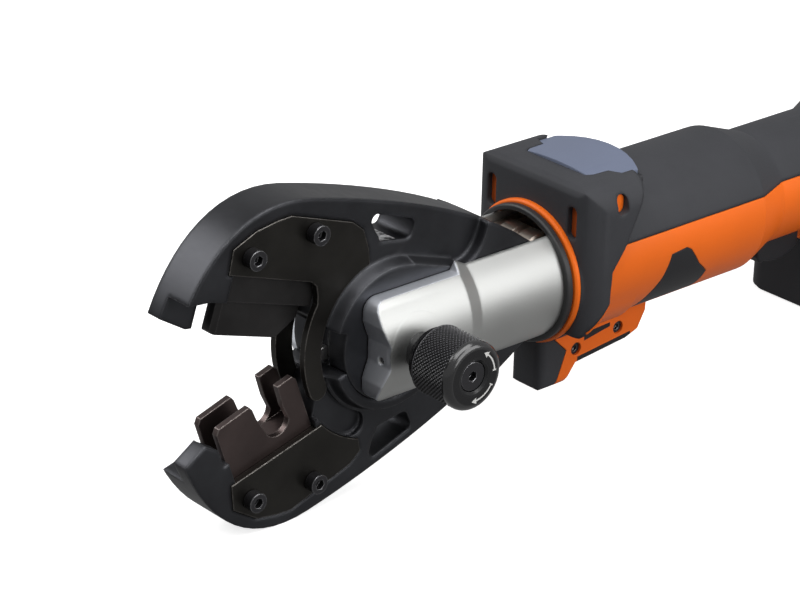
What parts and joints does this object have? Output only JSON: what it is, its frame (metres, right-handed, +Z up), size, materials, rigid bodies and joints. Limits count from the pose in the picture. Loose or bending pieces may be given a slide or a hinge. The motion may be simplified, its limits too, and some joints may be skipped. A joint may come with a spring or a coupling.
{
  "type": "hydraulic crimping tool",
  "caption": "Battery hydraulic crimping tool: scissor jaws with a blade die and a notched die, a swivelling fork head with a knurled retention pin, and a barrel body on a slide battery.",
  "frame": {"origin": "middle of the battery's flat underside, on which the tool stands", "axes": "-X from the battery to the jaws, +Z up"},
  "size_m": [0.4908, 0.1033, 0.1423],
  "materials": {
    "blackened_steel": "blackened tool steel, satin",
    "plate_steel": "olive-black plate, satin",
    "die_steel": "dark brown heat-treated die steel",
    "upper_die_steel": "dark grey heat-treated die steel",
    "black_screw": "black oxide screw",
    "fork_steel": "satin nickelled steel",
    "ground_steel": "ground steel",
    "roller_steel": "oiled bearing steel",
    "bronze": "bearing bronze",
    "black_knob": "glossy black",
    "black_rubber": "charcoal rubber, fine grain",
    "seal_rubber": "black seal rubber",
    "orange_shell": "orange nylon, satin",
    "slate_pad": "slate grey nylon",
    "black_shell": "black nylon",
    "alloy": "cast alloy",
    "board": "green laminate",
    "cell_wrap": "blue cell sleeve",
    "copper": "wound copper"
  },
  "bodies": {
    "tool_body": {"trim_ring": "orange_shell", "swivel_bearing": "bronze", "front_bumper": "black_rubber", "barrel_grip": "black_rubber", "housing_left": "orange_shell", "housing_right": "orange_shell", "side_insert_left": "black_shell", "side_insert_right": "black_shell", "housing_screws": "black_screw", "trigger_switch": "black_shell", "pump_block": "alloy", "pump_plunger": "ground_steel", "eccentric_shaft": "ground_steel", "relief_valve": "bronze", "gearbox": "alloy", "motor_can": "ground_steel", "motor_rotor": "copper", "circuit_board": "board", "contact_block": "bronze"},
    "head": {"fork": "fork_steel", "detent_screw": "black_screw", "collar_ring": "seal_rubber", "knob_lock_ring": "black_knob", "ram_cylinder": "ground_steel", "return_spring": "ground_steel", "pivot_bush": "bronze"},
    "upper_jaw_body": {"upper_jaw": "blackened_steel", "upper_die": "upper_die_steel", "upper_guide_plate_front": "plate_steel", "upper_guide_plate_rear": "plate_steel", "upper_plate_screws": "black_screw"},
    "lower_jaw_body": {"lower_jaw": "blackened_steel", "lower_die": "die_steel", "lower_cover_plate_front": "plate_steel", "lower_cover_plate_rear": "plate_steel", "lower_plate_screws": "black_screw", "stop_pin": "ground_steel"},
    "ram_body": {"ram": "roller_steel", "roller_pins": "ground_steel", "piston_seal": "seal_rubber"},
    "upper_roller": {"roller_upper": "roller_steel"},
    "lower_roller": {"roller_lower": "roller_steel"},
    "pin_body": {"retention_pin": "ground_steel"},
    "knob_body": {"knob": "black_knob", "knob_screw": "black_screw"},
    "button_body": {"release_button": "slate_pad"},
    "trigger_body": {"trigger": "black_shell"},
    "battery": {"battery_case": "black_shell", "battery_lid": "black_shell", "battery_cells": "cell_wrap"},
    "left_latch": {"latch_left": "black_shell"},
    "right_latch": {"latch_right": "black_shell"}
  },
  "joints": [
    {"name": "head_swivel", "type": "hinge", "parent": "tool_body", "child": "head", "pos_m": [-0.33, 0, 0.0705], "axis": [1, 0, 0], "range_deg": [-175, 175]},
    {"name": "ram_slide", "type": "slide", "parent": "head", "child": "ram_body", "axis": [-1, 0, 0], "range_m": [0, 0.04], "stiffness_N_per_m": 500, "springref_m": -0.08, "deforming": ["return_spring"]},
    {"name": "upper_jaw_pivot", "type": "hinge", "parent": "head", "child": "upper_jaw_body", "pos_m": [-0.33, 0, 0.0705], "axis": [0, -1, 0], "range_deg": [0, 18.01]},
    {"name": "lower_jaw_pivot", "type": "hinge", "parent": "head", "child": "lower_jaw_body", "pos_m": [-0.33, 0, 0.0705], "axis": [0, 1, 0], "range_deg": [0, 18.01]},
    {"name": "upper_roller_spin", "type": "hinge", "parent": "ram_body", "child": "upper_roller", "pos_m": [-0.243, 0, 0.0812], "axis": [0, 1, 0], "continuous": true},
    {"name": "lower_roller_spin", "type": "hinge", "parent": "ram_body", "child": "lower_roller", "pos_m": [-0.243, 0, 0.0598], "axis": [0, 1, 0], "continuous": true},
    {"name": "pin_pull", "type": "slide", "parent": "head", "child": "pin_body", "axis": [0, -1, 0], "range_m": [0, 0.05]},
    {"name": "knob_turn", "type": "hinge", "parent": "pin_body", "child": "knob_body", "pos_m": [-0.33, 0, 0.0705], "axis": [0, 1, 0], "range_deg": [0, 90]},
    {"name": "release_press", "type": "slide", "parent": "tool_body", "child": "button_body", "axis": [0, 0, -1], "range_m": [0, 0.0025], "stiffness_N_per_m": 1500, "springref_m": -0.004},
    {"name": "trigger_pull", "type": "slide", "parent": "tool_body", "child": "trigger_body", "axis": [0, 0, 1], "range_m": [0, 0.006], "stiffness_N_per_m": 900, "springref_m": -0.006},
    {"name": "battery_slide", "type": "slide", "parent": "tool_body", "child": "battery", "axis": [1, 0, 0], "range_m": [0, 0.1]},
    {"name": "left_latch_press", "type": "slide", "parent": "battery", "child": "left_latch", "axis": [0, -1, 0], "range_m": [0, 0.003], "stiffness_N_per_m": 1200, "springref_m": -0.004},
    {"name": "right_latch_press", "type": "slide", "parent": "battery", "child": "right_latch", "axis": [0, 1, 0], "range_m": [0, 0.003], "stiffness_N_per_m": 1200, "springref_m": -0.004}
  ],
  "couplings": [
    {"joint": "upper_jaw_pivot", "follows": "ram_slide", "rad_per_m": 7.854},
    {"joint": "lower_jaw_pivot", "follows": "ram_slide", "rad_per_m": 7.854}
  ]
}
